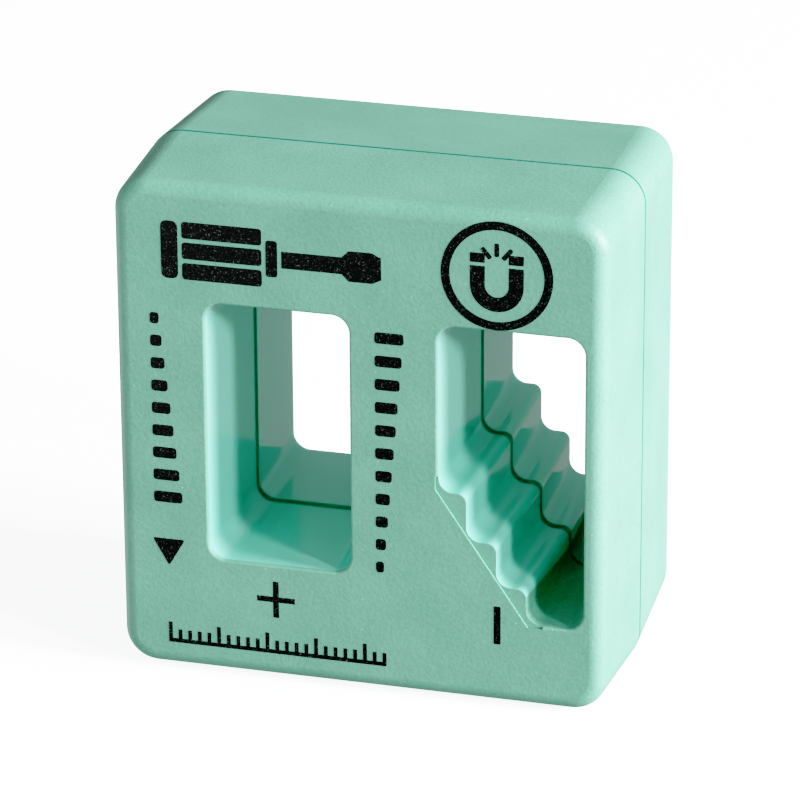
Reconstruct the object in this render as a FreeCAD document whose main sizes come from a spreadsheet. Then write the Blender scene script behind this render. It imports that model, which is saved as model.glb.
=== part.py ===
import FreeCAD, Part
import os
import Sketcher

# Magnetizer and demagnetizer block for screwdriver tips.
# Two moulded shells meet on a parting plane and clasp two ferrite magnets.
# Origin: middle of the underside. +X right, +Y to the rear, +Z up. Millimetres.

doc = FreeCAD.newDocument("magnetizer_block")

# Driving dimensions. Window sizes are those on the parting plane, where the windows are narrowest.
sheet = doc.addObject("Spreadsheet::Sheet", "dims")
dimensions = [
    ("width", 50.0),            # outside, on the parting plane
    ("height", 52.0),
    ("front_depth", 13.5),      # parting plane to front face
    ("rear_depth", 15.5),
    ("front_draft", 0.5),       # how far each outer side has leaned in at the front face
    ("rear_draft", 0.6),
    ("corner_radius", 3.4),     # four corners of the outline
    ("edge_round", 1.5),        # rim of the front and rear faces
    ("wall", 1.8),              # outer walls
    ("window_wall", 1.3),       # wall round each window, at its mouth
    ("window_width", 12.65),
    ("window_top", 38.6),
    ("plain_left", -14.45),     # magnetizing window
    ("plain_bottom", 13.5),
    ("step_left", 8.85),        # demagnetizing window, with a staircase in its lower left
    ("first_tread", 23.35),
    ("step_run", 3.0),
    ("drop_one", 4.9),
    ("drop_two", 4.5),
    ("drop_three", 3.8),
    ("front_flare", 0.95),      # how far each window wall has leaned out at the front mouth
    ("rear_flare", 0.9),
    ("front_step_flare", 1.2),  # the same for the steps
    ("rear_step_flare", 0.9),
    ("window_corner", 1.8),
    ("step_corner", 1.5),
    ("step_nose", 0.9),
    ("mouth_round", 0.25),
    ("land_sink", 0.28),        # the lands beside the steps lie this far below the front face
    ("land_top", 22.5),
    ("land_foot", 16.9),
    ("seam_width", 0.1),        # V groove round the outside of the joint: each shell's share of its width
    ("seam_reach", 0.3),        # and its depth
    ("groove_width", 0.3),      # the wider groove inside each window
    ("groove_reach", 0.6),
    ("boss_inset", 5.0),        # boss centres, from the outer sides
    ("boss_middle", 3.4),
    ("boss_radius", 2.2),
    ("pin_radius", 1.2),
    ("pin_length", 5.0),
    ("pin_play", 0.03),
    ("pin_chamfer", 0.3),
    ("magnet_thickness", 6.0),
    ("magnet_height", 30.0),
    ("magnet_depth", 25.0),
    ("magnet_edge", 0.4),
    ("magnet_middle", 26.0),    # height of the magnets' centres
    ("rib", 1.2),
    ("rib_play", 0.05),
]
for row, (alias, number) in enumerate(dimensions, start=1):
    sheet.set(f"A{row}", alias)
    sheet.set(f"B{row}", str(number))
    sheet.setAlias(f"B{row}", alias)
doc.recompute()


def value(expression):
    return float(sheet.evalExpression(expression))


# Places worked out from the dimensions, as expressions. Sketches face the front: their depth runs forwards.
NONE = "0 * dims.width"
PARTING = "(dims.rear_depth - dims.front_depth) / 2"
LEFT, RIGHT = "-dims.width / 2", "dims.width / 2"
PLAIN_RIGHT = "dims.plain_left + dims.window_width"
STEP_RIGHT = "dims.step_left + dims.window_width"
RISERS = [f"dims.step_left + {k} * dims.step_run" for k in range(4)]
TREADS = ["dims.first_tread"]
for drop in ("drop_one", "drop_two", "drop_three"):
    TREADS.append(f"{TREADS[-1]} - dims.{drop}")
# Indexes of the staircase's noses in the outline that step_corners gives; its other corners are hollow.
NOSES = (4, 6, 8)


def plain_corners(grow):
    """Corners of the magnetizing window, grown outwards by an expression."""
    return [
        (f"dims.plain_left - ({grow})", f"dims.window_top + {grow}"),
        (f"{PLAIN_RIGHT} + {grow}", f"dims.window_top + {grow}"),
        (f"{PLAIN_RIGHT} + {grow}", f"dims.plain_bottom - ({grow})"),
        (f"dims.plain_left - ({grow})", f"dims.plain_bottom - ({grow})"),
    ]


def step_corners(grow, step_grow):
    """Corners of the stepped window: three plain ones, then up the staircase from right to left."""
    left, bottom = f"dims.step_left - ({grow})", f"{TREADS[3]} - ({grow})"
    risers = [left] + [f"{x} - ({step_grow})" for x in RISERS[1:]]
    treads = [f"{z} - ({step_grow})" for z in TREADS[:3]] + [bottom]
    corners = [
        (left, f"dims.window_top + {grow}"),
        (f"{STEP_RIGHT} + {grow}", f"dims.window_top + {grow}"),
        (f"{STEP_RIGHT} + {grow}", bottom),
    ]
    for level in (3, 2, 1):
        corners += [(risers[level], treads[level]), (risers[level], treads[level - 1])]
    return corners + [(left, treads[0])]


def box_corners(left, right, bottom, top):
    return [(left, top), (right, top), (right, bottom), (left, bottom)]


def attach(body, item, depth, role="XZ_Plane"):
    """Lays a sketch or datum plane parallel to an origin plane, at a depth given by an expression."""
    plane = [f for f in body.Origin.OriginFeatures if f.Role == role][0]
    item.AttachmentSupport = [(plane, "")]
    item.MapMode = "FlatFace"
    item.setExpression("AttachmentOffset.Base.z", depth)


def new_sketch(body, name, depth, role="XZ_Plane"):
    sketch = body.newObject("Sketcher::SketchObject", name)
    attach(body, sketch, depth, role)
    return sketch


def fix_point(sketch, geometry, point, x, z):
    """Holds one point of a sketch at the coordinates that two expressions give."""
    for kind, expression in (("DistanceX", x), ("DistanceY", z)):
        constraint = Sketcher.Constraint(kind, -1, 1, geometry, point, value(expression))
        number = sketch.addConstraint(constraint)
        sketch.setExpression(f"Constraints[{number}]", expression)


def polygon(sketch, corners):
    """Adds a closed outline of straight sides to a sketch."""
    first = sketch.GeometryCount
    places = [FreeCAD.Vector(value(x), value(z), 0) for x, z in corners]
    for start, end in zip(places, places[1:] + places[:1]):
        sketch.addGeometry(Part.LineSegment(start, end), False)
    for k, (x, z) in enumerate(corners):
        following = first + (k + 1) % len(corners)
        sketch.addConstraint(Sketcher.Constraint("Coincident", first + k, 2, following, 1))
        fix_point(sketch, first + k, 1, x, z)


def circles(sketch, centres, radius):
    """Adds a circle of one radius at each centre."""
    for x, z in centres:
        centre = FreeCAD.Vector(value(x), value(z), 0)
        circle = Part.Circle(centre, FreeCAD.Vector(0, 0, 1), value(radius))
        geometry = sketch.addGeometry(circle, False)
        fix_point(sketch, geometry, 3, x, z)
        number = sketch.addConstraint(Sketcher.Constraint("Radius", geometry, value(radius)))
        sketch.setExpression(f"Constraints[{number}]", radius)


def pad(body, sketch, length, forwards):
    feature = body.newObject("PartDesign::Pad", f"{sketch.Name}_pad")
    feature.Profile = sketch
    feature.Reversed = not forwards
    feature.setExpression("Length", length)
    doc.recompute()


def pocket(body, sketch, length, forwards):
    feature = body.newObject("PartDesign::Pocket", f"{sketch.Name}_pocket")
    before = body.Shape.Volume
    feature.Profile = sketch
    feature.Reversed = forwards
    feature.setExpression("Length", length)
    doc.recompute()
    must_remove(body, feature, before)


def draft(body, name, angle, forwards, test):
    """Leans the tip's faces that pass a test about the parting plane, so that material comes off them."""
    base = body.Tip
    before = body.Shape.Volume
    neutral = body.newObject("PartDesign::Plane", f"{name}_plane")
    attach(body, neutral, PARTING)
    faces = [f"Face{k}" for k, face in enumerate(base.Shape.Faces, start=1) if test(face)]
    feature = body.newObject("PartDesign::Draft", name)
    feature.Base = (base, faces)
    feature.NeutralPlane = (neutral, [""])
    feature.Reversed = not forwards
    feature.setExpression("Angle", angle)
    doc.recompute()
    must_remove(body, feature, before)


def must_remove(body, feature, before):
    """Stops if a feature that should take material off has taken none."""
    if not body.Shape.Volume < before - 0.01:
        raise RuntimeError(f"{feature.Name} removed nothing: {feature.State}")


def dress(body, kind, name, size, test, second=None):
    """Adds a Fillet or Chamfer to the tip's edges that pass a test. A chamfer may have a second size."""
    base = body.Tip
    names = [f"Edge{k}" for k, edge in enumerate(base.Shape.Edges, start=1) if test(edge)]
    if not names:
        raise RuntimeError(f"{name} found no edges")
    feature = body.newObject(f"PartDesign::{kind}", name)
    feature.Base = (base, names)
    feature.setExpression("Radius" if kind == "Fillet" else "Size", size)
    if second:
        feature.ChamferType = "Two distances"
        feature.setExpression("Size2", second)
    doc.recompute()
    if "Invalid" in feature.State or "Error" in feature.State:
        raise RuntimeError(f"{name} failed on {len(names)} edges")
    return feature


NEAR = 1e-3  # two coordinates this close are the same


def at_depth(y):
    """Edges that lie wholly at one depth."""
    return lambda edge: max(abs(edge.BoundBox.YMin - y), abs(edge.BoundBox.YMax - y)) < NEAR


def outer_edge(edge):
    """Edges of the outline, outside every window."""
    box = edge.BoundBox
    side = value("dims.width") / 2 - value("dims.wall")
    low, high = value("dims.wall"), value("dims.height") - value("dims.wall")
    return box.XMax < -side or box.XMin > side or box.ZMax < low or box.ZMin > high


def within(corners, margin):
    """Edges or faces inside a window's own box, widened by a margin."""
    xs = [value(x) for x, z in corners]
    zs = [value(z) for x, z in corners]

    def test(item):
        box = item.BoundBox
        return (
            box.XMin > min(xs) - margin and box.XMax < max(xs) + margin
            and box.ZMin > min(zs) - margin and box.ZMax < max(zs) + margin
        )
    return test


def corner_edges(corners):
    """Edges that run outwards from the parting plane at one of a window's corners."""
    places = [(value(x), value(z)) for x, z in corners]

    def test(edge):
        ends = [vertex.Point for vertex in edge.Vertexes]
        return edge.BoundBox.YLength > 1 and any(
            abs(end.x - x) < NEAR and abs(end.z - z) < NEAR for end in ends for x, z in places
        )
    return test


BOSSES = [
    (x, z)
    for x in (f"{LEFT} + dims.boss_inset", "dims.boss_middle", f"{RIGHT} - dims.boss_inset")
    for z in ("dims.boss_inset", "dims.height - dims.boss_inset")
]
MAGNET_TOP = "dims.magnet_middle + dims.magnet_height / 2"
MAGNET_BOTTOM = "dims.magnet_middle - dims.magnet_height / 2"
# Gaps that hold the magnets, between the walls at each side of them.
OUTER_POCKET = (f"{LEFT} + dims.wall", "dims.plain_left - dims.front_flare - dims.window_wall")
MIDDLE_POCKET = (
    f"{PLAIN_RIGHT} + dims.front_flare + dims.window_wall",
    "dims.step_left - dims.front_flare - dims.window_wall",
)


def shell(side, forwards):
    """Half of the moulded block. Its side is front or rear, and forwards is True for the front."""
    sign = "+" if forwards else "-"
    depth, flare, step_flare = f"dims.{side}_depth", f"dims.{side}_flare", f"dims.{side}_step_flare"
    lean = f"atan(dims.{side}_draft / {depth})"
    face = f"{PARTING} {sign} {depth}"
    seam_y, face_y = -value(PARTING), -value(face)
    body = doc.addObject("PartDesign::Body", f"{side}_shell")
    body.Label = f"{side}_shell"

    # A block raised from its plan, drafted, and rounded on its four corners and round its face.
    plan = new_sketch(body, f"{side}_plan", NONE, "XY_Plane")
    polygon(plan, box_corners(LEFT, RIGHT, f"-({face})", f"-({PARTING})"))
    pad(body, plan, "dims.height", True)
    draft(body, f"{side}_lean", lean, forwards, lambda face: face.BoundBox.YLength > 1)
    dress(body, "Fillet", f"{side}_corners", "dims.corner_radius", lambda edge: edge.BoundBox.YLength > 1)
    dress(body, "Fillet", f"{side}_rim", "dims.edge_round", at_depth(face_y))

    hollow = new_sketch(body, f"{side}_hollow", PARTING)
    polygon(hollow, box_corners(
        f"{LEFT} + dims.wall", f"{RIGHT} - dims.wall", "dims.wall", "dims.height - dims.wall"
    ))
    pocket(body, hollow, f"{depth} - dims.wall", forwards)

    # Walls round the two windows. Beside the staircase the wall follows the lands' slanting edge.
    reach = "dims.front_flare + dims.window_wall"
    rims = new_sketch(body, f"{side}_window_walls", PARTING)
    polygon(rims, plain_corners(reach))
    around = step_corners(reach, reach)
    foot = ("dims.land_foot - dims.window_wall", around[2][1])
    polygon(rims, around[:3] + [foot, (around[0][0], "dims.land_top")])
    pad(body, rims, f"{depth} - dims.wall / 2", forwards)

    # Ribs above and below the magnets, and one upright where the stepped window's wall turns away.
    ribs = new_sketch(body, f"{side}_ribs", PARTING)
    for left, right in (OUTER_POCKET, MIDDLE_POCKET):
        for low, high in (
            (f"{MAGNET_BOTTOM} - dims.rib_play - dims.rib", f"{MAGNET_BOTTOM} - dims.rib_play"),
            (f"{MAGNET_TOP} + dims.rib_play", f"{MAGNET_TOP} + dims.rib_play + dims.rib"),
        ):
            polygon(ribs, box_corners(f"{left} - dims.rib / 2", f"{right} + dims.rib / 2", low, high))
    pad(body, ribs, f"{depth} - dims.wall / 2", forwards)
    upright = new_sketch(body, f"{side}_upright", PARTING)
    polygon(upright, box_corners(
        MIDDLE_POCKET[1], f"{MIDDLE_POCKET[1]} + dims.rib",
        f"{MAGNET_BOTTOM} - dims.rib_play - dims.rib", "dims.land_top + dims.rib",
    ))
    pad(body, upright, f"{depth} - dims.wall / 2", forwards)

    # Windows, flaring from the parting plane to the mouth, then their rounded corners.
    plain, step = plain_corners(NONE), step_corners(NONE, NONE)
    plain_mouth, step_mouth = plain_corners(flare), step_corners(flare, step_flare)
    for window, waist, mouth in (("plain", plain, plain_mouth), ("step", step, step_mouth)):
        waist_sketch = new_sketch(body, f"{side}_{window}_waist", PARTING)
        polygon(waist_sketch, waist)
        mouth_sketch = new_sketch(body, f"{side}_{window}_mouth", face)
        polygon(mouth_sketch, mouth)
        before = body.Shape.Volume
        window_cut = body.newObject("PartDesign::SubtractiveLoft", f"{side}_{window}_window")
        window_cut.Profile = mouth_sketch
        window_cut.Sections = [waist_sketch]
        window_cut.Ruled = True
        doc.recompute()
        must_remove(body, window_cut, before)
    hollows = [corner for k, corner in enumerate(step) if k > 2 and k not in NOSES]
    noses = [step[k] for k in NOSES]
    dress(body, "Fillet", f"{side}_window_corners", "dims.window_corner", corner_edges(plain + step[:3]))
    dress(body, "Fillet", f"{side}_step_corners", "dims.step_corner", corner_edges(hollows))
    dress(body, "Fillet", f"{side}_step_noses", "dims.step_nose", corner_edges(noses))
    if forwards:
        sink_lands(body, face)
    at_face, at_seam = at_depth(face_y), at_depth(seam_y)
    for window, mouth in (("plain", plain_mouth), ("step", step_mouth)):
        inside = within(mouth, 2 * NEAR)
        dress(
            body, "Fillet", f"{side}_{window}_mouth_round", "dims.mouth_round",
            lambda edge: at_face(edge) and inside(edge),
        )
        dress(
            body, "Chamfer", f"{side}_{window}_groove", "dims.groove_width",
            lambda edge: at_seam(edge) and inside(edge), "dims.groove_reach",
        )
    dress(
        body, "Chamfer", f"{side}_seam", "dims.seam_reach",
        lambda edge: at_seam(edge) and outer_edge(edge), "dims.seam_width",
    )

    # Bosses at the six joints.
    bosses = new_sketch(body, f"{side}_bosses", PARTING)
    circles(bosses, BOSSES, "dims.boss_radius")
    pad(body, bosses, f"{depth} - dims.wall / 2", forwards)
    return body


def sink_lands(body, face):
    """Sinks the flat lands beside the steps below the front face. They end on a slanting edge."""
    left = "dims.step_left - dims.front_flare - dims.mouth_round"
    bottom = f"{TREADS[3]} - dims.front_flare - dims.mouth_round"
    top = "dims.first_tread - dims.front_step_flare + dims.step_corner + dims.mouth_round"
    right = f"{RISERS[3]} - dims.front_step_flare + dims.step_corner + dims.mouth_round"
    lands = new_sketch(body, "lands", face)
    polygon(lands, [
        (left, top), (left, "dims.land_top"), ("dims.land_foot", bottom), (right, bottom),
        (STEP_RIGHT, top),
    ])
    pocket(body, lands, "dims.land_sink", False)


def front_shell():
    """Front half: its bosses are sockets."""
    body = shell("front", True)
    sockets = new_sketch(body, "sockets", PARTING)
    circles(sockets, BOSSES, "dims.pin_radius + dims.pin_play")
    pocket(body, sockets, "dims.pin_length + dims.pin_chamfer", True)
    return body


def rear_shell():
    """Rear half: a pin stands on each boss and reaches into the front half's socket."""
    body = shell("rear", False)
    pins = new_sketch(body, "pins", PARTING)
    circles(pins, BOSSES, "dims.pin_radius")
    pad(body, pins, "dims.pin_length", True)
    tip_y = -value(f"{PARTING} + dims.pin_length")
    dress(body, "Chamfer", "pin_tips", "dims.pin_chamfer", at_depth(tip_y))
    return body


def magnet(name, gap):
    """A ferrite block standing in the middle of its gap."""
    left, right = gap
    middle = f"({left} + {right}) / 2"
    body = doc.addObject("PartDesign::Body", name)
    body.Label = name
    outline = new_sketch(body, f"{name}_outline", "dims.magnet_depth / 2")
    polygon(outline, box_corners(
        f"{middle} - dims.magnet_thickness / 2", f"{middle} + dims.magnet_thickness / 2",
        MAGNET_BOTTOM, MAGNET_TOP,
    ))
    pad(body, outline, "dims.magnet_depth", False)
    dress(body, "Chamfer", f"{name}_edges", "dims.magnet_edge", lambda edge: True)
    return body


pieces = [
    front_shell(),
    rear_shell(),
    magnet("outer_magnet", OUTER_POCKET),
    magnet("middle_magnet", MIDDLE_POCKET),
]
doc.recompute()

for item in doc.Objects:
    if "Invalid" in item.State or "Error" in item.State:
        raise RuntimeError(f"{item.Name} failed: {item.State}")
for piece in pieces:
    if piece.Shape.isNull() or not piece.Shape.isValid() or len(piece.Shape.Solids) != 1:
        raise RuntimeError(f"{piece.Label} has no single valid solid")

os.makedirs("parts", exist_ok=True)
for piece in pieces:
    piece.Shape.exportStep(f"parts/{piece.Label}.step")
    box = piece.Shape.BoundBox
    print(
        f"{piece.Label}: {box.XLength:.2f} x {box.YLength:.2f} x {box.ZLength:.2f} mm,"
        f" {piece.Shape.Volume / 1000:.2f} cm3"
    )
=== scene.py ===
from math import cos, exp, log1p, pi, radians, sin

import bmesh
import bpy
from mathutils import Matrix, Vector


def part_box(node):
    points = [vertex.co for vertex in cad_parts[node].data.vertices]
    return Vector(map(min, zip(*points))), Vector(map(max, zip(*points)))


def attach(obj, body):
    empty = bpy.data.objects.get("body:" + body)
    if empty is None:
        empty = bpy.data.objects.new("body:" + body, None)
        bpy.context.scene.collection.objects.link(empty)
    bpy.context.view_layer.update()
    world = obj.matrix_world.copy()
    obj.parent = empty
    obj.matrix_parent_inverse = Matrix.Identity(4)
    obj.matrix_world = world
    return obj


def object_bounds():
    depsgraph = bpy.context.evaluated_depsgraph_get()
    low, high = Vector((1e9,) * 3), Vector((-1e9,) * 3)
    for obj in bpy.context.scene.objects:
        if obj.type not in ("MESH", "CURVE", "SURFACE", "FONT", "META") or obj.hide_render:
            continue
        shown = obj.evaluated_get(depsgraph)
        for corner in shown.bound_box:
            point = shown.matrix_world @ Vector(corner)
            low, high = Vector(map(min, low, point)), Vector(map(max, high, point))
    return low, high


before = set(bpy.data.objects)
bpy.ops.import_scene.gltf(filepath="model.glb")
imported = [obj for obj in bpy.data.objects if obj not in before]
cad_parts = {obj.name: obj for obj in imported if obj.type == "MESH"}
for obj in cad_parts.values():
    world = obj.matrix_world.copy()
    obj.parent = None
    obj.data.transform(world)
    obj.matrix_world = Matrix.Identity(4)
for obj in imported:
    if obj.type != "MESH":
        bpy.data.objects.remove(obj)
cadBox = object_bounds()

mm = 0.001
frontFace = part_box("front_shell")[0].y      # the printed face
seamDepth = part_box("front_shell")[1].y      # parting plane between the two shells
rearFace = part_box("rear_shell")[1].y
print("frame loaded:", ", ".join(sorted(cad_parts)))


def linearColour(hexColour):
    channels = [int(hexColour[k:k + 2], 16) / 255 for k in (1, 3, 5)]
    return [c / 12.92 if c <= 0.04045 else ((c + 0.055) / 1.055) ** 2.4 for c in channels] + [1.0]


def newMaterial(name):
    material = bpy.data.materials.new(name)
    material.use_nodes = True
    material.node_tree.nodes.clear()
    return material


def addNode(material, kind, inputs=None, **settings):
    node = material.node_tree.nodes.new("ShaderNode" + kind)
    for setting, value in settings.items():
        setattr(node, setting, value)
    for socket, value in (inputs or {}).items():
        if isinstance(value, bpy.types.NodeSocket):
            material.node_tree.links.new(value, node.inputs[socket])
        else:
            node.inputs[socket].default_value = value
    return node


def inWindows(material, position, area):
    # 1 on the walls inside the two windows, 0 on the outside: a box with a short soft edge
    axes = addNode(material, "SeparateXYZ", {0: position})
    inside = None
    for axis, (low, high) in zip("XYZ", area["spans"]):
        middle, half = (low + high) / 2, (high - low) / 2
        centred = addNode(material, "Math", {0: axes.outputs[axis], 1: middle}, operation="SUBTRACT")
        distance = addNode(material, "Math", {0: centred.outputs[0]}, operation="ABSOLUTE")
        within = addNode(material, "MapRange", {
            "Value": distance.outputs[0], "From Min": half - area["softEdge"], "From Max": half,
            "To Min": 1.0, "To Max": 0.0,
        }).outputs[0]
        if inside is None:
            inside = within
        else:
            inside = addNode(material, "Math", {0: inside, 1: within}, operation="MULTIPLY").outputs[0]
    return inside


def paintedSeamShadeMask(material, position, inside, look):
    # how strong the painted shade along the joint is: a darker colour that stands in for the shade in the
    # groove between the two shells, wider inside the windows, and uneven along its edge
    axes = addNode(material, "SeparateXYZ", {0: position})
    centred = addNode(material, "Math", {0: axes.outputs["Y"], 1: seamDepth}, operation="SUBTRACT")
    distance = addNode(material, "Math", {0: centred.outputs[0]}, operation="ABSOLUTE")
    edge = addNode(material, "MapRange", {
        "Value": inside, "To Min": look["seamHalfWidth"], "To Max": look["grooveHalfWidth"],
    })
    wander = addNode(material, "TexNoise", {"Vector": position, "Scale": 1 / look["seamWander"]})
    uneven = addNode(
        material, "Math", {0: wander.outputs["Fac"], 1: look["seamUneven"]}, operation="MULTIPLY")
    reach = addNode(material, "Math", {0: edge.outputs[0], 1: uneven.outputs[0]}, operation="ADD")
    across = addNode(material, "Math", {0: distance.outputs[0], 1: reach.outputs[0]}, operation="DIVIDE")
    return addNode(material, "MapRange", {
        "Value": across.outputs[0], "From Min": look["seamCore"], "From Max": 1.0,
        "To Min": look["paintedSeamShadeStrength"], "To Max": 0.0,
    }).outputs[0]


# The windows' walls lie in this part of the block; the lands beside the steps are just in front of it.
windowArea = {
    "spans": ((-16 * mm, 23.2 * mm), (frontFace + 0.33 * mm, rearFace - 0.2 * mm), (12 * mm, 40 * mm)),
    "softEdge": 0.06 * mm,
}


def mouldGrain(material, place, look):
    # the fine spark-eroded grain of the mould, which the plastic has and the ink over it follows
    return addNode(material, "TexNoise", {
        "Vector": place, "Scale": 1 / look["grainWidth"], "Detail": 3.0, "Roughness": 0.55,
    }).outputs["Fac"]


def mouldedAbs(name, look):
    # Injection moulded ABS: matt with a fine grain outside, and polished inside the windows, where a paler
    # colour is painted light for the light that gathers there
    material = newMaterial(name)
    place = addNode(material, "TexCoord").outputs["Object"]
    inside = inWindows(material, place, windowArea)

    grain = mouldGrain(material, place, look)
    ripple = addNode(material, "TexNoise", {
        "Vector": place, "Scale": 1 / look["rippleWidth"], "Detail": 2.0,
    })
    cloud = addNode(material, "TexNoise", {
        "Vector": place, "Scale": 1 / look["cloudWidth"], "Detail": 3.0,
    })

    # colour: paler on the grain's tops and darker in its pits as painted light and shade, slightly uneven
    # as moulded plastic is, with a few small pale specks
    grainShadeAndMottle = addNode(material, "Math", {0: grain, 1: cloud.outputs["Fac"]}, operation="ADD")
    shade = addNode(material, "MapRange", {
        "Value": grainShadeAndMottle.outputs[0], "From Min": look["mottleFrom"], "From Max": look["mottleFull"],
    })
    plain = addNode(material, "MixRGB", {
        "Fac": shade.outputs[0],
        "Color1": linearColour(look["mattDark"]), "Color2": linearColour(look["mattPale"]),
    })
    cells = addNode(material, "TexVoronoi", {"Vector": place, "Scale": 1 / look["speckSpacing"]})
    speckReach = look["speckSize"] / look["speckSpacing"]
    specks = addNode(material, "MapRange", {
        "Value": cells.outputs["Distance"], "From Min": speckReach / 2, "From Max": speckReach,
        "To Min": look["speckStrength"], "To Max": 0.0,
    })
    matt = addNode(material, "MixRGB", {
        "Fac": specks.outputs[0], "Color1": plain.outputs[0], "Color2": linearColour(look["speckColour"]),
    })
    # painted light: inside the windows the colour is paler than outside, standing in for the light that
    # gathers there; the polish itself is in the roughness
    finishWithPaintedLight = addNode(material, "MixRGB", {
        "Fac": inside, "Color1": matt.outputs[0], "Color2": linearColour(look["polishedPaintedLight"]),
    })
    # painted shade: the colour along the joint is darkened where shade falls in the groove between the two
    # shells
    paintedSeamShade = paintedSeamShadeMask(material, place, inside, look)
    paintedSeamShadeColour = addNode(material, "MixRGB", {
        "Fac": inside,
        "Color1": linearColour(look["outsidePaintedSeamShade"]), "Color2": linearColour(look["insidePaintedGrooveShade"]),
    })
    colour = addNode(material, "MixRGB", {
        "Fac": paintedSeamShade, "Color1": finishWithPaintedLight.outputs[0], "Color2": paintedSeamShadeColour.outputs[0],
    })
    moulded = addNode(material, "MapRange", {
        "Value": inside, "To Min": look["mattRoughness"], "To Max": look["polishedRoughness"],
    })
    roughness = addNode(material, "MapRange", {
        "Value": paintedSeamShade, "To Min": moulded.outputs[0], "To Max": look["seamRoughness"],
    })

    # relief: the grain outside, and a faint ripple everywhere
    grainHeight = addNode(material, "MapRange", {
        "Value": inside, "To Min": 1.0, "To Max": look["grainLeftInside"],
    })
    relief = addNode(material, "Bump", {
        "Height": grain, "Distance": look["grainDepth"], "Strength": grainHeight.outputs[0],
    })
    waves = addNode(material, "Bump", {
        "Height": ripple.outputs["Fac"], "Distance": look["rippleDepth"], "Strength": 1.0,
        "Normal": relief.outputs[0],
    })
    shader = addNode(material, "BsdfPrincipled", {
        "Base Color": colour.outputs[0], "Roughness": roughness.outputs[0], "IOR": look["ior"],
        "Normal": waves.outputs[0],
    })
    addNode(material, "OutputMaterial", {"Surface": shader.outputs[0]})
    return material


frontFinish = {
    "mattDark": "#6EA792", "mattPale": "#79B39D", "mottleFrom": 0.75, "mottleFull": 1.25,
    # painted light: the paler colour inside the windows
    "polishedPaintedLight": "#90DBCA",
    "mattRoughness": 0.5, "polishedRoughness": 0.1, "ior": 1.53,
    "grainWidth": 0.34 * mm, "grainDepth": 0.034 * mm, "grainLeftInside": 0.03,
    "rippleWidth": 4 * mm, "rippleDepth": 0.015 * mm, "cloudWidth": 7 * mm,
    "seamHalfWidth": 0.17 * mm, "grooveHalfWidth": 0.66 * mm, "seamCore": 0.6, "seamRoughness": 0.75,
    "seamWander": 1.2 * mm, "seamUneven": 0.1 * mm, "paintedSeamShadeStrength": 0.95,
    # painted shade colours along the joint: outside, and in the wider groove inside the windows
    "outsidePaintedSeamShade": "#27806A", "insidePaintedGrooveShade": "#2AA493",
    "speckSpacing": 1.8 * mm, "speckSize": 0.1 * mm, "speckColour": "#B4E2D2", "speckStrength": 0.6,
}
rearFinish = dict(frontFinish, grainDepth=0.013 * mm)    # the rear half comes from a smoother mould


def sinteredFerrite(name, look):
    # Sintered ferrite, ground on its faces: a dull charcoal ceramic with fine pores
    material = newMaterial(name)
    place = addNode(material, "TexCoord").outputs["Object"]
    pores = addNode(material, "TexNoise", {"Vector": place, "Scale": 1 / look["poreWidth"], "Detail": 4.0})
    colour = addNode(material, "MixRGB", {
        "Fac": pores.outputs["Fac"],
        "Color1": linearColour(look["dark"]), "Color2": linearColour(look["pale"]),
    })
    relief = addNode(material, "Bump", {"Height": pores.outputs["Fac"], "Distance": look["poreDepth"]})
    shader = addNode(material, "BsdfPrincipled", {
        "Base Color": colour.outputs[0], "Roughness": look["roughness"], "Normal": relief.outputs[0],
    })
    addNode(material, "OutputMaterial", {"Surface": shader.outputs[0]})
    return material


ferriteFinish = {
    "dark": "#1E1F22", "pale": "#3A3B3F", "roughness": 0.55,
    "poreWidth": 0.25 * mm, "poreDepth": 0.01 * mm,
}

finishes = {
    "front_shell": mouldedAbs("grainedAbs", frontFinish),
    "rear_shell": mouldedAbs("smoothAbs", rearFinish),
    "outer_magnet": sinteredFerrite("sinteredFerrite", ferriteFinish),
}
finishes["middle_magnet"] = finishes["outer_magnet"]
for node, material in finishes.items():
    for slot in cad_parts[node].material_slots:
        slot.material = material
print("shells and magnets finished")


near = 0.01    # mm, two places this close are the same
inkFilm = {
    "front": frontFace - 0.02 * mm, "back": frontFace + 0.01 * mm, "weld": 0.001 * mm, "slot": "print_ink",
}


def padPrintInk(name, look):
    # Pad printed ink: a matt black film so thin that the moulded grain shows through it in its relief, with
    # small glints painted into its colour as paler spots
    material = newMaterial(name)
    place = addNode(material, "TexCoord").outputs["Object"]
    grain = mouldGrain(material, place, look)
    # painted highlights: paler spots in the ink's colour stand in for glints
    paintedGlintNoise = addNode(material, "TexNoise", {"Vector": place, "Scale": 1 / look["glintWidth"], "Detail": 1.0})
    paintedGlints = addNode(material, "MapRange", {
        "Value": paintedGlintNoise.outputs["Fac"], "From Min": look["glintFrom"], "From Max": look["glintFull"],
    })
    colour = addNode(material, "MixRGB", {
        "Fac": paintedGlints.outputs[0],
        "Color1": linearColour(look["ink"]), "Color2": linearColour(look["paintedGlint"]),
    })
    relief = addNode(material, "Bump", {"Height": grain, "Distance": look["grainDepth"]})
    shader = addNode(material, "BsdfPrincipled", {
        "Base Color": colour.outputs[0], "Roughness": look["roughness"], "IOR": look["ior"],
        "Normal": relief.outputs[0],
    })
    addNode(material, "OutputMaterial", {"Surface": shader.outputs[0]})
    return material


blackInk = padPrintInk("padPrintInk", {
    # the glint colour is a painted highlight
    "ink": "#0D1110", "paintedGlint": "#56635E", "roughness": 0.42, "ior": 1.5,
    "grainWidth": frontFinish["grainWidth"], "grainDepth": frontFinish["grainDepth"],
    "glintWidth": 0.18 * mm, "glintFrom": 0.58, "glintFull": 0.8,
})


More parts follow.
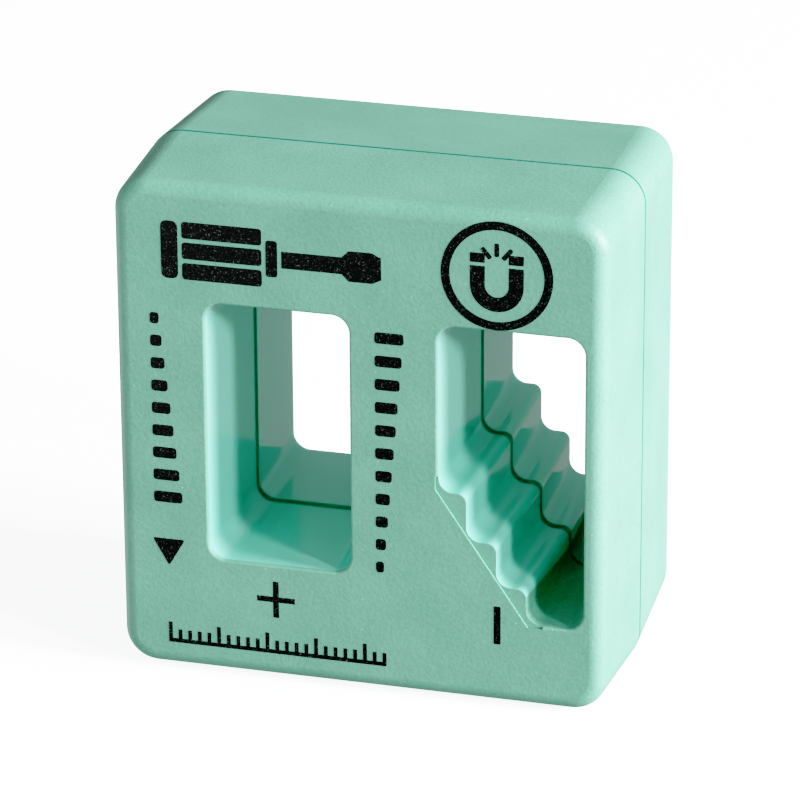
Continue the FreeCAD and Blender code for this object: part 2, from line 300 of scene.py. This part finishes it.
def roundCorners(corner, segments):
    # rounds every corner of the active flat patch, in mm
    bpy.ops.object.mode_set(mode="EDIT")
    bpy.ops.mesh.select_all(action="SELECT")
    bpy.ops.mesh.bevel(offset=corner * mm, segments=segments, affect="VERTICES")
    bpy.ops.object.mode_set(mode="OBJECT")


def inkPatch(x, z, width, height, corner=0.0, turn=0.0):
    # a flat rectangle of ink on the printed face, in mm, turned in degrees, with rounded corners
    bpy.ops.object.select_all(action="DESELECT")
    bpy.ops.mesh.primitive_plane_add(
        size=mm, location=(x * mm, inkFilm["back"], z * mm), rotation=(radians(90), radians(turn), 0))
    patch = bpy.context.object
    patch.scale = (width, height, 1)
    bpy.ops.object.transform_apply(location=True, rotation=True, scale=True)
    if corner:
        roundCorners(corner, 4)
    return patch


def inkDisc(x, z, radius, corners, turn=0.0):
    # a flat regular outline filled with ink on the printed face, in mm, turned in degrees
    bpy.ops.object.select_all(action="DESELECT")
    bpy.ops.mesh.primitive_circle_add(
        vertices=corners, radius=radius * mm, fill_type="NGON",
        location=(x * mm, inkFilm["back"], z * mm), rotation=(radians(90), radians(turn), 0))
    bpy.ops.object.transform_apply(location=True, rotation=True, scale=True)
    return bpy.context.object


def copyPatch(patch, dx, dz):
    # the same patch again with its own mesh, moved across the face, in mm
    bpy.ops.object.select_all(action="DESELECT")
    patch.select_set(True)
    bpy.context.view_layer.objects.active = patch
    bpy.ops.object.duplicate()
    bpy.ops.transform.translate(value=(dx * mm, 0, dz * mm))
    bpy.ops.object.transform_apply(location=True, rotation=True, scale=True)
    return bpy.context.object


def selectEdge(patch, test):
    # in edit mode, leaves only the edges selected whose two ends pass a test, in mm
    mesh = bmesh.from_edit_mesh(patch.data)
    bpy.ops.mesh.select_all(action="DESELECT")
    bpy.ops.mesh.select_mode(type="EDGE")
    for edge in mesh.edges:
        if all(test(end.co.x / mm, end.co.z / mm) for end in edge.verts):
            edge.select_set(True)
    bmesh.update_edit_mesh(patch.data)


def pushEdge(dx, dz, spread=1.0, centre=(0, 0)):
    # extrudes the selected edge across the face, and makes it longer or shorter about a centre
    bpy.ops.mesh.extrude_region_move(TRANSFORM_OT_translate={"value": (dx * mm, 0, dz * mm)})
    bpy.ops.transform.resize(
        value=(1, 1, spread), center_override=(centre[0] * mm, inkFilm["back"], centre[1] * mm))


def inkPrint(name, patches):
    # joins flat patches, gives them the ink film's thickness, and puts them on the front shell
    bpy.ops.object.select_all(action="DESELECT")
    for patch in patches:
        patch.select_set(True)
    bpy.context.view_layer.objects.active = patches[0]
    if len(patches) > 1:
        bpy.ops.object.join()
    piece = bpy.context.view_layer.objects.active
    piece.name = name
    bpy.ops.object.transform_apply(location=True, rotation=True, scale=True)
    bpy.ops.object.mode_set(mode="EDIT")
    bpy.ops.mesh.select_all(action="SELECT")
    bpy.ops.mesh.remove_doubles(threshold=inkFilm["weld"])
    bpy.ops.mesh.extrude_region_move(
        TRANSFORM_OT_translate={"value": (0, inkFilm["front"] - inkFilm["back"], 0)})
    bpy.ops.mesh.select_all(action="SELECT")
    bpy.ops.mesh.normals_make_consistent(inside=False)
    bpy.ops.object.mode_set(mode="OBJECT")
    piece.data.materials.clear()
    piece.data.materials.append(blackInk)
    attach(piece, "root")
    return piece


# Sizes and places of the prints are in mm, on the printed face.
screwdriver = {
    "middle": 44.75, "buttLeft": -19.6, "buttWidth": 1.7, "handleHeight": 5.9, "gap": 0.42,
    "handleLength": 8.0, "flutes": 3, "collarWidth": 1.15, "collarHeight": 3.7,
    "shaftLength": 6.0, "shaftHeight": 1.7, "bladeLength": 2.3, "bladeHeight": 3.1,
    "buttCorner": 0.6, "fluteCorner": 0.3, "bladeShoulder": 0.7, "bladeTip": 0.9, "tipTaper": 0.72,
}


def screwdriverPrint(sign):
    # a screwdriver lying on its side: butt, fluted handle, collar, and a shaft with a flat blade
    x, z = sign["buttLeft"], sign["middle"]
    patches = [inkPatch(
        x + sign["buttWidth"] / 2, z, sign["buttWidth"], sign["handleHeight"], sign["buttCorner"])]
    x += sign["buttWidth"] + sign["gap"]
    fluteHeight = (sign["handleHeight"] + sign["gap"]) / sign["flutes"] - sign["gap"]
    lowest = z - (sign["flutes"] - 1) / 2 * (fluteHeight + sign["gap"])
    flute = inkPatch(
        x + sign["handleLength"] / 2, lowest, sign["handleLength"], fluteHeight, sign["fluteCorner"])
    patches.append(flute)
    for k in range(1, sign["flutes"]):
        patches.append(copyPatch(flute, 0, k * (fluteHeight + sign["gap"])))
    x += sign["handleLength"] + sign["gap"]
    patches.append(inkPatch(
        x + sign["collarWidth"] / 2, z, sign["collarWidth"], sign["collarHeight"], sign["fluteCorner"]))
    x += sign["collarWidth"] + sign["gap"]
    shaft = inkPatch(x + sign["shaftLength"] / 2, z, sign["shaftLength"], sign["shaftHeight"])
    end = x + sign["shaftLength"]
    bpy.ops.object.mode_set(mode="EDIT")
    selectEdge(shaft, lambda px, pz: px > end - near)
    pushEdge(sign["bladeShoulder"], 0, sign["bladeHeight"] / sign["shaftHeight"], (end, z))
    pushEdge(sign["bladeLength"], 0)
    pushEdge(sign["bladeTip"], 0, sign["tipTaper"], (end, z))
    bpy.ops.object.mode_set(mode="OBJECT")
    return inkPrint("screwdriverPrint", patches + [shaft])


roundMark = {
    "centre": (13.78, 45.19), "radius": 5.5, "ringWidth": 0.85, "bow": 1.9, "bowDrop": 1.0,
    "legWidth": 1.45, "legLength": 1.9, "poleHeight": 0.95, "gap": 0.35, "ray": 1.35, "rayWidth": 0.45,
    "rayTurn": 40, "rayLift": 0.1, "rayCorner": 0.15,
}


def magnetPrint(sign):
    # a horseshoe magnet with three short rays from between its poles, in a ring
    cx, cz = sign["centre"]
    ring = inkDisc(cx, cz, sign["radius"], 64)
    bpy.ops.object.mode_set(mode="EDIT")
    bpy.ops.mesh.select_all(action="SELECT")
    bpy.ops.mesh.inset(thickness=sign["ringWidth"] * mm)
    bpy.ops.mesh.delete(type="FACE")
    bpy.ops.object.mode_set(mode="OBJECT")

    bowZ = cz - sign["bowDrop"]    # centre of the magnet's bow
    legTop = bowZ + sign["legLength"]
    magnet = inkPatch(cx - sign["bow"], (bowZ + legTop) / 2, sign["legWidth"], sign["legLength"])
    bpy.ops.object.mode_set(mode="EDIT")
    selectEdge(magnet, lambda px, pz: pz < bowZ + near)
    bpy.ops.mesh.spin(
        steps=20, angle=pi, center=(cx * mm, inkFilm["back"], bowZ * mm), axis=(0, 1, 0))
    pushEdge(0, sign["legLength"])
    bpy.ops.object.mode_set(mode="OBJECT")

    patches = [ring, magnet]
    poleZ = legTop + sign["gap"] + sign["poleHeight"] / 2
    pole = inkPatch(cx - sign["bow"], poleZ, sign["legWidth"], sign["poleHeight"])
    patches += [pole, copyPatch(pole, 2 * sign["bow"], 0)]
    reach = sign["poleHeight"] + sign["ray"] / 2
    for turn in (-sign["rayTurn"], 0, sign["rayTurn"]):
        patches.append(inkPatch(
            cx + sin(radians(turn)) * reach, legTop + sign["rayLift"] + cos(radians(turn)) * reach,
            sign["rayWidth"], sign["ray"], sign["rayCorner"], turn))
    return inkPrint("magnetPrint", patches)


growingBars = {
    "left": -20.9, "top": 38.1, "pitch": 2.35, "count": 9, "widths": (0.9, 2.9),
    "thickness": 1.15, "corner": 0.3,
}
shrinkingBars = dict(growingBars, left=1.7, top=38.3, pitch=2.4, count=11, widths=(2.9, 0.8))


def barsPrint(name, column):
    # a column of bars that says how strong the magnetism is, from the top down
    first, last = column["widths"]
    patches = []
    for k in range(column["count"]):
        width = first + (last - first) * k / (column["count"] - 1)
        patches.append(inkPatch(
            column["left"] + width / 2, column["top"] - column["thickness"] / 2 - k * column["pitch"],
            width, column["thickness"], column["corner"]))
    return inkPrint(name, patches)


arrow = {"centre": (-19.5, 13.3), "radius": 1.9, "corner": 0.25}


def arrowPrint(sign):
    # a small triangle that points down
    x, z = sign["centre"]
    triangle = inkDisc(x, z, sign["radius"], 3, 180)
    roundCorners(sign["corner"], 3)
    return inkPrint("arrowPrint", [triangle])


plusSign = {"centre": (-8.56, 8.94), "arm": 1.93, "stroke": 0.57}


def plusPrint(sign):
    # the plus grows from a small square by its four sides
    x, z = sign["centre"]
    half = sign["stroke"] / 2
    plus = inkPatch(x, z, sign["stroke"], sign["stroke"])
    bpy.ops.object.mode_set(mode="EDIT")
    for dx, dz in ((1, 0), (-1, 0), (0, 1), (0, -1)):
        selectEdge(plus, lambda px, pz: abs((px - x) * dx + (pz - z) * dz - half) < near
                   and abs(px - x) < half + near and abs(pz - z) < half + near)
        pushEdge(dx * (sign["arm"] - half), dz * (sign["arm"] - half))
    bpy.ops.object.mode_set(mode="OBJECT")
    return inkPrint("plusPrint", [plus])


minusSign = {"centre": (13.88, 8.87), "width": 0.68, "height": 4.0, "corner": 0.08}


def minusPrint(sign):
    # the minus stands upright
    x, z = sign["centre"]
    return inkPrint("minusPrint", [inkPatch(x, z, sign["width"], sign["height"], sign["corner"])])


ruler = {
    "left": -19.7, "foot": 3.1, "line": 0.42, "ticks": 23, "pitch": 1.0, "tickWidth": 0.38,
    "short": 1.0, "long": 1.75, "longEvery": 5,
}


def rulerPrint(sign):
    # a fine scale of one millimetre divisions, longer at every fifth
    length = (sign["ticks"] - 1) * sign["pitch"] + sign["tickWidth"]
    patches = [inkPatch(sign["left"] + length / 2, sign["foot"] + sign["line"] / 2, length, sign["line"])]
    for height, ticks in (
        (sign["long"], range(0, sign["ticks"], sign["longEvery"])),
        (sign["short"], [k for k in range(sign["ticks"]) if k % sign["longEvery"]]),
    ):
        first = inkPatch(
            sign["left"] + sign["tickWidth"] / 2 + ticks[0] * sign["pitch"],
            sign["foot"] + sign["line"] + height / 2, sign["tickWidth"], height)
        patches.append(first)
        for k in ticks[1:]:
            patches.append(copyPatch(first, (k - ticks[0]) * sign["pitch"], 0))
    return inkPrint("rulerPrint", patches)


screwdriverPrint(screwdriver)
magnetPrint(roundMark)
barsPrint("growingBarsPrint", growingBars)
barsPrint("shrinkingBarsPrint", shrinkingBars)
arrowPrint(arrow)
plusPrint(plusSign)
minusPrint(minusSign)
rulerPrint(ruler)
print("front shell printed")


studio = {
    "floorSide": 8.0, "floorColour": "#F7F8F8", "floorRoughness": 0.9, "floorGlow": 1.7, "domeRadius": 3.8,
    "surroundColour": "#FFFFFF", "surroundStrength": 0.42,
}
# round soft lights that look at the block: degrees, metres and watts
softLights = {
    "key": {"azimuth": 61.5, "elevation": 20, "distance": 1.2, "width": 0.16, "power": 9.0},
    "side": {"azimuth": 85, "elevation": 15, "distance": 1.2, "width": 0.4, "power": 45.0},
    "front": {"azimuth": -30, "elevation": -6, "distance": 0.9, "width": 0.6, "power": 2.1},
    "back": {"azimuth": 200, "elevation": -28, "distance": 1.2, "width": 0.7, "power": 3.5},
    "left": {"azimuth": -100, "elevation": -24, "distance": 1.2, "width": 0.6, "power": 2.5},
}


def whiteCard(look):
    # Matt white card that glows like a light table, so that it stays pale under the block
    material = newMaterial("whiteCard")
    shader = addNode(material, "BsdfPrincipled", {
        "Base Color": linearColour(look["floorColour"]), "Roughness": look["floorRoughness"],
        "Emission Color": linearColour(look["floorColour"]), "Emission Strength": look["floorGlow"],
    })
    addNode(material, "OutputMaterial", {"Surface": shader.outputs[0]})
    return material


def lookAt(item, target):
    item.rotation_euler = (Vector(target) - item.location).to_track_quat("-Z", "Y").to_euler()


def around(azimuth, elevation, distance, centre):
    # azimuth 0 is straight in front of the printed face, and grows to the right
    a, e = radians(azimuth), radians(elevation)
    return Vector(centre) + distance * Vector((sin(a) * cos(e), -cos(a) * cos(e), sin(e)))


bpy.ops.object.select_all(action="DESELECT")
bpy.ops.mesh.primitive_plane_add(size=studio["floorSide"], location=(0, 0, 0))
floor = bpy.context.object
floor.name = "floor"
bpy.ops.object.select_all(action="DESELECT")
bpy.ops.mesh.primitive_uv_sphere_add(segments=48, ring_count=24, radius=studio["domeRadius"])
backdrop = bpy.context.object
backdrop.name = "backdrop"
card = whiteCard(studio)
for item in (floor, backdrop):
    item.data.materials.append(card)
    item.visible_glossy = False    # the surround lights the block from all round instead
    item.visible_diffuse = False
    item.visible_shadow = False

world = bpy.data.worlds.new("surround")
bpy.context.scene.world = world
world.use_nodes = True
world.node_tree.nodes["Background"].inputs["Color"].default_value = linearColour(studio["surroundColour"])
world.node_tree.nodes["Background"].inputs["Strength"].default_value = studio["surroundStrength"]

blockCentre = (cadBox[0] + cadBox[1]) / 2


def softbox(name, look):
    bpy.ops.object.light_add(
        type="AREA", location=around(look["azimuth"], look["elevation"], look["distance"], blockCentre))
    light = bpy.context.object
    light.name = name + "Light"
    light.data.shape = "DISK"
    light.data.size = look["width"]
    light.data.energy = look["power"]
    light.visible_camera = False
    lookAt(light, blockCentre)


for name, look in softLights.items():
    softbox(name, look)

view = {
    "azimuth": 15.82, "elevation": 22.46, "distance": 511.2 * mm, "aim": (0.1 * mm, 0, 25.3 * mm),
    "roll": -0.33, "focalLength": 232.2, "nearest": 10 * mm,
}
bpy.ops.object.camera_add(
    location=around(view["azimuth"], view["elevation"], view["distance"], view["aim"]))
camera = bpy.context.object
camera.name = "camera"
lookAt(camera, view["aim"])
camera.rotation_euler.rotate_axis("Z", radians(view["roll"]))
camera.data.lens = view["focalLength"]
camera.data.clip_start = view["nearest"]
bpy.context.scene.camera = camera

toneLook = {
    "whiteLevel": 3.0, "shoulderStart": 0.3, "toeDepth": 0.2, "toeWidth": 0.07, "toeSoftness": 0.022,
    # the curve has its points at these lights
    "lights": (0.04, 0.07, 0.1, 0.13, 0.2, 0.3, 0.5, 0.75, 1.0, 1.5, 2.0),
}


def screenLight(light, look):
    # the light on the screen for light in the scene: deep shadows, straight mid tones and a soft shoulder
    start = look["shoulderStart"]
    room = 1 - start
    screen = light if light < start else start + room * (1 - exp((start - light) / room))
    screen -= look["toeDepth"] * exp(-light / look["toeWidth"])
    return look["toeSoftness"] * log1p(exp(screen / look["toeSoftness"]))


toning = bpy.context.scene.view_settings
toning.view_transform = "Standard"
toning.use_curve_mapping = True
toning.curve_mapping.white_level = [toneLook["whiteLevel"]] * 3
allChannels = toning.curve_mapping.curves[3]
for light in toneLook["lights"]:
    allChannels.points.new(light / toneLook["whiteLevel"], screenLight(light, toneLook))
toning.curve_mapping.update()
print("studio set up")
